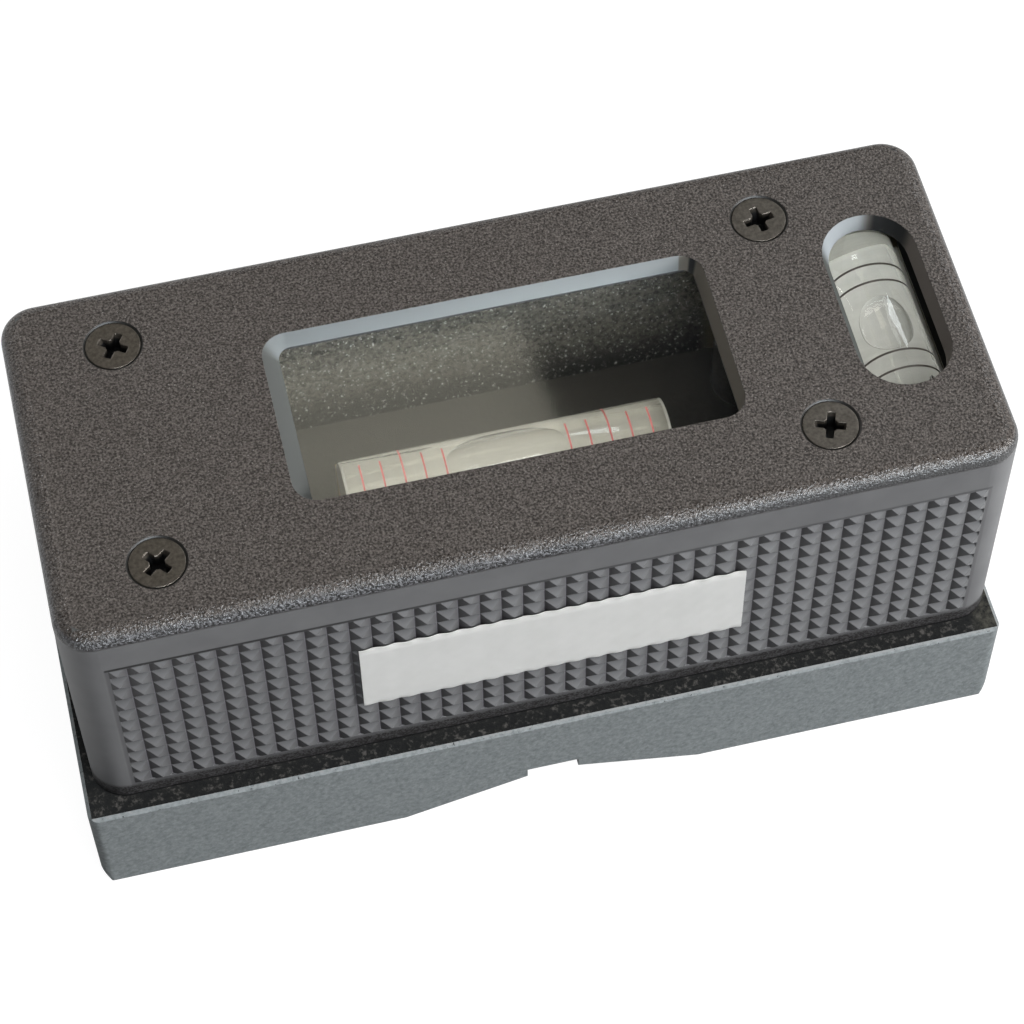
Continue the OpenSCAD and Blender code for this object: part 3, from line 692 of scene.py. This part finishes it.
# Turns a form's faces outwards and makes it a mesh
def mesh_of(form, name):
    bmesh.ops.recalc_face_normals(form, faces=form.faces)
    mesh = bpy.data.meshes.new(name)
    form.to_mesh(mesh)
    form.free()
    return mesh


# One ring of a turned form. A ring of no radius is a single point
def turned_ring(form, along, radius, to_world, sides):
    if radius == 0:
        return [form.verts.new(to_world @ Vector((along, 0, 0)))]
    angles = [2 * math.pi * i / sides for i in range(sides)]
    return [form.verts.new(to_world @ Vector((along, radius * math.cos(a), radius * math.sin(a))))
            for a in angles]


# A closed turned form: rings of (place along the axis, radius), from pole to pole
def turned_mesh(name, rings, to_world, sides=96):
    form = bmesh.new()
    loops = [turned_ring(form, along, radius, to_world, sides) for along, radius in rings]
    for near, far in zip(loops, loops[1:]):
        for i in range(sides):
            j = (i + 1) % sides
            if len(near) == 1:
                form.faces.new((near[0], far[j], far[i]))
            elif len(far) == 1:
                form.faces.new((near[i], near[j], far[0]))
            else:
                form.faces.new((near[i], near[j], far[j], far[i]))
    return mesh_of(form, name)


ROD_RIM = 0.08 * MM


# A glass rod with flat ends and slightly broken rims
def rod_rings(length, radius):
    half = length / 2
    return [(-half, 0), (-half, radius - ROD_RIM), (-half + ROD_RIM, radius),
            (half - ROD_RIM, radius), (half, radius - ROD_RIM), (half, 0)]


BUBBLE_STEPS = 28
BUBBLE_SIDES = 40
PLAN_POWER = 0.8


# A point of a bubble, some steps out from its middle and some sides round it
def bubble_point(step, side, is_top, length, half_w, roof, depth):
    share = math.sin(math.pi / 2 * step / BUBBLE_STEPS)
    a = 2 * math.pi * side / BUBBLE_SIDES
    plan_x = share * (length / 2) * math.copysign(abs(math.cos(a)) ** PLAN_POWER, math.cos(a))
    plan_y = share * half_w * math.sin(a)
    top = math.sqrt(roof * roof - plan_y * plan_y)
    thick = depth * math.sqrt(max(0.0, 1 - share * share))
    return Vector((plan_x, plan_y, top if is_top else top - thick))


# Air under the roof of a bore: lens-shaped in plan, its top follows the bore
def bubble_mesh(name, length, half_w, roof, depth, to_world):
    form = bmesh.new()
    verts = {}
    for is_top in (True, False):
        for i in range(BUBBLE_STEPS + 1):
            for j in range(BUBBLE_SIDES):
                shared = (i == 0 and j > 0) or (i == BUBBLE_STEPS and not is_top)
                if not shared:
                    point = bubble_point(i, j, is_top, length, half_w, roof, depth)
                    verts[is_top, i, j] = form.verts.new(to_world @ point)

    # Each layer's middle is one point, and both layers have the same rim
    def vert(is_top, i, j):
        return verts[is_top or i == BUBBLE_STEPS, i, 0 if i == 0 else j % BUBBLE_SIDES]

    for is_top in (True, False):
        for i in range(BUBBLE_STEPS):
            for j in range(BUBBLE_SIDES):
                places = ((i, j), (i + 1, j), (i + 1, j + 1), (i, j + 1))
                corners = list(dict.fromkeys(vert(is_top, *place) for place in places))
                form.faces.new(corners if is_top else corners[::-1])
    return mesh_of(form, name)


PAINT_T = 0.00002
LINE_STEP_DEG = 3


# A painted line round a rod: a thin closed strip that follows the glass
def add_line(form, to_world, along, radius, width, start, end):
    count = max(4, int(abs(end - start) / LINE_STEP_DEG))
    rows = []
    for i in range(count + 1):
        a = math.radians(start + (end - start) * i / count)
        ring = []
        for off, r in ((-0.5, radius), (0.5, radius), (0.5, radius + PAINT_T), (-0.5, radius + PAINT_T)):
            place = Vector((along + off * width, -r * math.sin(a), r * math.cos(a)))
            ring.append(form.verts.new(to_world @ place))
        rows.append(ring)
    for near, far in zip(rows, rows[1:]):
        for k in range(4):
            form.faces.new((near[k], near[(k + 1) % 4], far[(k + 1) % 4], far[k]))
    form.faces.new(rows[0])
    form.faces.new(rows[-1][::-1])


# A piece of painted lines: (place along the rod, width, first and last angle)
def lines_piece(name, lines, to_world, radius, body, material):
    form = bmesh.new()
    for along, width, start, end in lines:
        add_line(form, to_world, along, radius, width, start, end)
    return add_object(name, mesh_of(form, name), body, material, smooth=False)


END_T = 0.25 * MM
END_GAP = 0.03 * MM
END_R_LESS = 0.05 * MM


# The two closed ends of a vial: a cream disc that takes in the last bit of the glass at each end
def vial_ends(name, length, radius, to_world, body, material, node):
    form = bmesh.new()
    outer = length / 2 - END_GAP
    inner = length / 2 - END_T - END_GAP
    for side in (-1, 1):
        rings = [(side * inner, 0), (side * inner, radius), (side * outer, radius), (side * outer, 0)]
        disc = turned_mesh(name + "_disc", rings, to_world)
        form.from_mesh(disc)
        bpy.data.meshes.remove(disc)
    piece = add_object(name, mesh_of(form, name), body, material, smooth=False)
    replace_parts(piece, node)


def middle_of(node):
    low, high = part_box(node)
    return (low + high) / 2, high - low


# The main vial's marks, five each side, the middle one longer. The angles are half the arc
MARK_PITCH = 2.0 * MM
MARK_W = 0.17 * MM
MARK_INNER = 6.0 * MM
MARK_COUNT = 5
SHORT_MARK = 23
LONG_MARK = 56


def main_marks():
    marks = []
    for side in (-1, 1):
        for i in range(MARK_COUNT):
            reach = LONG_MARK if i == MARK_COUNT // 2 else SHORT_MARK
            marks.append((side * (MARK_INNER + i * MARK_PITCH), MARK_W, -reach, reach))
    return marks


# The main vial: glass, ends, air and red marks
def main_vial(glass, air, red, ends):
    centre, size = middle_of("main_vial_tube")
    place = Matrix.Translation(centre)
    radius = size.z / 2
    rod = turned_mesh("main_vial_glass", rod_rings(size.x - 2 * END_T, radius), place)
    vial_ends("main_vial_ends", size.x, radius - END_R_LESS, place, "vial_holder", ends, "main_vial_plugs")
    piece = add_object("main_vial_glass", rod, "vial_holder", glass)
    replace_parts(piece, "main_vial_tube")
    low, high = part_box("main_vial_bubble")
    roof = high.z - centre.z
    mesh = bubble_mesh("main_vial_air", high.x - low.x, (high.y - low.y) / 2, roof, high.z - low.z, place)
    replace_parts(add_object("main_vial_air", mesh, "main_bubble", air), "main_vial_bubble")
    lines_piece("main_vial_marks", main_marks(), place, radius, "vial_holder", red)


# The cross vial's rings, along Y, each round the upper half
RING_PLACES = [-5.80 * MM, -3.80 * MM, 4.35 * MM, 6.30 * MM]
RING_W = 0.22 * MM
RING_REACH = 89


# The cross vial: glass, ends, air and black rings
def cross_vial(glass, air, black, ends):
    centre, size = middle_of("cross_vial_tube")
    place = Matrix.Translation(centre) @ Matrix.Rotation(math.pi / 2, 4, "Z")
    radius = size.z / 2
    rod = turned_mesh("cross_vial_glass", rod_rings(size.y - 2 * END_T, radius), place)
    vial_ends("cross_vial_ends", size.y, radius - END_R_LESS, place, "frame", ends, "cross_vial_plugs")
    piece = add_object("cross_vial_glass", rod, "frame", glass)
    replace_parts(piece, "cross_vial_tube")
    low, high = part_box("cross_vial_bubble")
    roof = high.z - centre.z
    mesh = bubble_mesh("cross_vial_air", high.y - low.y, (high.x - low.x) / 2, roof, high.z - low.z, place)
    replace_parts(add_object("cross_vial_air", mesh, "cross_bubble", air), "cross_vial_bubble")
    rings = [(along, RING_W, -RING_REACH, RING_REACH) for along in RING_PLACES]
    lines_piece("cross_vial_rings", rings, place, radius, "frame", black)


LABEL_STEPS_X = 218
LABEL_STEPS_Z = 60
FILM_SAG = 0.015
EDGE_SAG = 0.16
EDGE_W = 0.8
LABEL_TIP_X = grip_middle - GRIP_HALF + GRIP_PITCH / 2
LABEL_TIP_Z = grip_foot + GRIP_PITCH / 2


# How far the film hangs in between the pyramids' tips, more along its edges
def film_sag(x, z, from_edge):
    on_x = 0.5 + 0.5 * math.cos(2 * math.pi * (x - LABEL_TIP_X) / GRIP_PITCH)
    on_z = 0.5 + 0.5 * math.cos(2 * math.pi * (z - LABEL_TIP_Z) / GRIP_PITCH)
    deep = FILM_SAG + (EDGE_SAG - FILM_SAG) * max(0.0, 1 - from_edge / EDGE_W) ** 2
    return deep * (1 - on_x * on_z)


# One face of the film, as columns of points
def film_sheet(form, low, high, y):
    columns = []
    for i in range(LABEL_STEPS_X + 1):
        x = low.x + (high.x - low.x) * i / LABEL_STEPS_X
        column = []
        for j in range(LABEL_STEPS_Z + 1):
            z = low.z + (high.z - low.z) * j / LABEL_STEPS_Z
            sag = film_sag(x, z, min(z - low.z, high.z - z))
            column.append(form.verts.new(Vector((x, y + sag, z)) * MM))
        columns.append(column)
    return columns


# Faces between two rows of points
def add_strip(form, near, far):
    for j in range(len(near) - 1):
        form.faces.new((near[j], far[j], far[j + 1], near[j + 1]))


# The label, draped over the tips: two sheets, and four rims that join them
def label_piece(film):
    low, high = (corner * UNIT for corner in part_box("label"))
    form = bmesh.new()
    front = film_sheet(form, low, high, low.y)
    back = film_sheet(form, low, high, high.y)
    for sheet in (front, back):
        for near, far in zip(sheet, sheet[1:]):
            add_strip(form, near, far)
    for end in (0, -1):
        add_strip(form, front[end], back[end])
        add_strip(form, [column[end] for column in front], [column[end] for column in back])
    mesh = mesh_of(form, "label_film")
    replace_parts(add_object("label_film", mesh, "frame", film, smooth=False), "label")


WHITE = (1, 1, 1)
LAMP_AIM = Vector((0, 0, 0.025))

# Each lamp's name, direction from the object, distance, size, watts, colour, and the rays that miss it:
# the key at the right, a soft box overhead, a long one in front that only gloss shows, one low at the
# back, and a small one that only gloss shows
LAMPS = (
    ("key", (0.80, -0.50, 0.33), 0.7, (0.22, 0.22), 5.2, WHITE, None),
    ("top", (0.10, -0.35, 0.93), 0.8, (0.4, 0.4), 3.9, WHITE, "visible_glossy"),
    ("sheen", (0.20, -0.847, 0.519), 0.8, (0.7, 0.14), 16.0, (0.88, 0.95, 1.0), "visible_diffuse"),
    ("rear", (-0.45, 0.80, 0.30), 0.8, (0.4, 0.4), 1.6, WHITE, None),
    ("back_sheen", (0.60, 0.50, 0.65), 0.8, (0.3, 0.3), 2.0, (0.90, 0.96, 1.0), "visible_diffuse"),
)


def add_lamp(name, size, watts, colour):
    data = bpy.data.lights.new(name, "AREA")
    data.shape = "RECTANGLE"
    data.size, data.size_y = size
    data.energy = watts
    data.color = colour
    lamp = bpy.data.objects.new(name, data)
    bpy.context.scene.collection.objects.link(lamp)
    return lamp


# A lamp that stands off in a direction and faces the object
def soft_box(name, towards, distance, size, watts, colour, missed_by):
    lamp = add_lamp(name, size, watts, colour)
    direction = Vector(towards).normalized()
    lamp.location = LAMP_AIM + direction * distance
    lamp.rotation_euler = direction.to_track_quat("Z", "Y").to_euler()
    if missed_by:
        setattr(lamp, missed_by, False)


CARD_SIZE = 0.16
CARD_STRENGTH = 1.35
CARD_COLOUR = (1.0, 0.96, 0.80)
CARD_RIGHT_EDGE = 0.0924
CARD_Y = 0.380
CARD_Z = 0.600
CARD_TURN_DEG = 5.5


# A small card whose mirror image lies over the left half of the pane
def pane_card():
    watts = CARD_STRENGTH * math.pi * CARD_SIZE * CARD_SIZE
    card = add_lamp("pane_card", (CARD_SIZE, CARD_SIZE), watts, CARD_COLOUR)
    card.location = (CARD_RIGHT_EDGE - CARD_SIZE / 2, CARD_Y, CARD_Z)
    card.rotation_euler = (0, 0, math.radians(CARD_TURN_DEG))


WORLD_COLOUR = (0.93, 0.96, 1.0, 1)
WORLD_STRENGTH = 0.07


# A weak cool world, white only where the camera sees it directly
def add_world():
    world = bpy.data.worlds.new("world")
    bpy.context.scene.world = world
    world.use_nodes = True
    tree = world.node_tree
    soft = tree.nodes["Background"]
    soft.inputs["Color"].default_value = WORLD_COLOUR
    soft.inputs["Strength"].default_value = WORLD_STRENGTH
    white = tree.nodes.new("ShaderNodeBackground")
    white.inputs["Color"].default_value = (*WHITE, 1)
    white.inputs["Strength"].default_value = 1.0
    path = tree.nodes.new("ShaderNodeLightPath")
    mixer = tree.nodes.new("ShaderNodeMixShader")
    tree.links.new(path.outputs["Is Camera Ray"], mixer.inputs[0])
    tree.links.new(soft.outputs[0], mixer.inputs[1])
    tree.links.new(white.outputs[0], mixer.inputs[2])
    tree.links.new(mixer.outputs[0], tree.nodes["World Output"].inputs["Surface"])


FLOOR_SIZE = 6
FLOOR_DROP = 0.0001
FLOOR_COLOUR = (0.16, 0.16, 0.16)
FLOOR_ROUGH = 0.9
FLOOR_SEEN = 0.92
FLOOR_MIRRORED_NEAR = 0.12
FLOOR_MIRRORED_BESIDE = 0.9


# The floor is pale to the camera and keeps shadows. Gloss shows it pale beside and behind the object,
# and dark in front
def add_floor():
    bpy.ops.mesh.primitive_plane_add(size=FLOOR_SIZE, location=(0, 0, -FLOOR_DROP))
    floor = bpy.context.object
    floor.name = "floor"
    n = Nodes("floor")
    n.set(Base_Color=FLOOR_COLOUR, Roughness=FLOOR_ROUGH)
    x, y, _ = n.xyz()
    beside = n.most(n.step(n.abs(x), 52.0, 66.0), n.step(y, 22.0, 36.0))
    path = n.add("ShaderNodeLightPath")
    mirrored = n.blend(beside, FLOOR_MIRRORED_NEAR, FLOOR_MIRRORED_BESIDE)
    mirrored = n.times(path.outputs["Is Glossy Ray"], mirrored)
    seen = n.times(path.outputs["Is Camera Ray"], FLOOR_SEEN)
    glow = n.add("ShaderNodeEmission")
    glow.inputs["Color"].default_value = (*WHITE, 1)
    n.put(n.most(seen, mirrored), glow.inputs["Strength"])
    both = n.add("ShaderNodeAddShader")
    n.put(n.shader.outputs[0], both.inputs[0])
    n.put(glow.outputs[0], both.inputs[1])
    n.put(both.outputs[0], n.output.inputs["Surface"])
    floor.data.materials.append(n.material)


add_camera()
add_world()
for lamp_values in LAMPS:
    soft_box(*lamp_values)
pane_card()
add_floor()

# Name, darkest and lightest colour, roughness
steel = metal_material("steel", (0.42, 0.42, 0.43), (0.60, 0.60, 0.61), 0.34)
black_steel = metal_material("black_steel", (0.065, 0.057, 0.047), (0.125, 0.110, 0.093), 0.36, metallic=0.75)
brass = metal_material("brass", (0.50, 0.38, 0.17), (0.68, 0.54, 0.28), 0.34)
cream = plain_material("vial_bed", (0.46, 0.443, 0.376), (0.51, 0.493, 0.427), 0.6)
pale = plain_material("cross_bed", (0.40, 0.40, 0.365), (0.45, 0.45, 0.415), 0.6)
vial_end = end_material((0.52, 0.50, 0.43), (0.58, 0.56, 0.49))
# The cross vial's ends are a lighter cream than the main vial's, painted light for inner faces that get
# little light
pale_end_lightened = end_material((0.72, 0.71, 0.65), (0.78, 0.77, 0.71))
rubber = plain_material("rubber", (0.010, 0.010, 0.010), (0.022, 0.022, 0.022), 0.7)
label_film = plain_material("label", (0.65, 0.655, 0.640), (0.69, 0.693, 0.680), 0.5,
                            scale=0.4, depth_mm=0.003)
mark_red = plain_material("mark_red", (0.42, 0.09, 0.08), (0.52, 0.13, 0.12), 0.5)
mark_black = plain_material("mark_black", (0.06, 0.052, 0.045), (0.11, 0.095, 0.08), 0.5)

# Name, colour, index of refraction. Air in liquid bends light the other way
vial_glass = glass_material("vial_glass", (0.97, 0.97, 0.94), 1.47)
air = glass_material("air", (1.0, 1.0, 1.0), 0.80)
pane_glass = glass_material("pane_glass", (0.98, 0.99, 0.985), 1.45, rough=0.045)

dress("cover", cover_material())
dress("base_casting", base_material())
for node in ("cover_posts", "pivot_bracket", "pivot_pin", "adjusting_washer", "adjusting_spring"):
    dress(node, steel)
for node in ("bracket_screws", "stand_screws", "adjusting_screw"):
    dress(node, black_steel)
dress("cover_screws", screw_material())
dress("main_vial_bed", cream)
dress("cross_vial_bed", pale)
dress("main_vial_holder", brass)
dress("window_seal", rubber)
dress("cross_vial_stand", stand_material())
dress("window_pane", pane_glass)
dress("label", label_film)

main_vial(vial_glass, air, mark_red, vial_end)
cross_vial(vial_glass, air, mark_black, pale_end_lightened)
label_piece(label_film)

bpy.context.scene.view_settings.view_transform = "Standard"
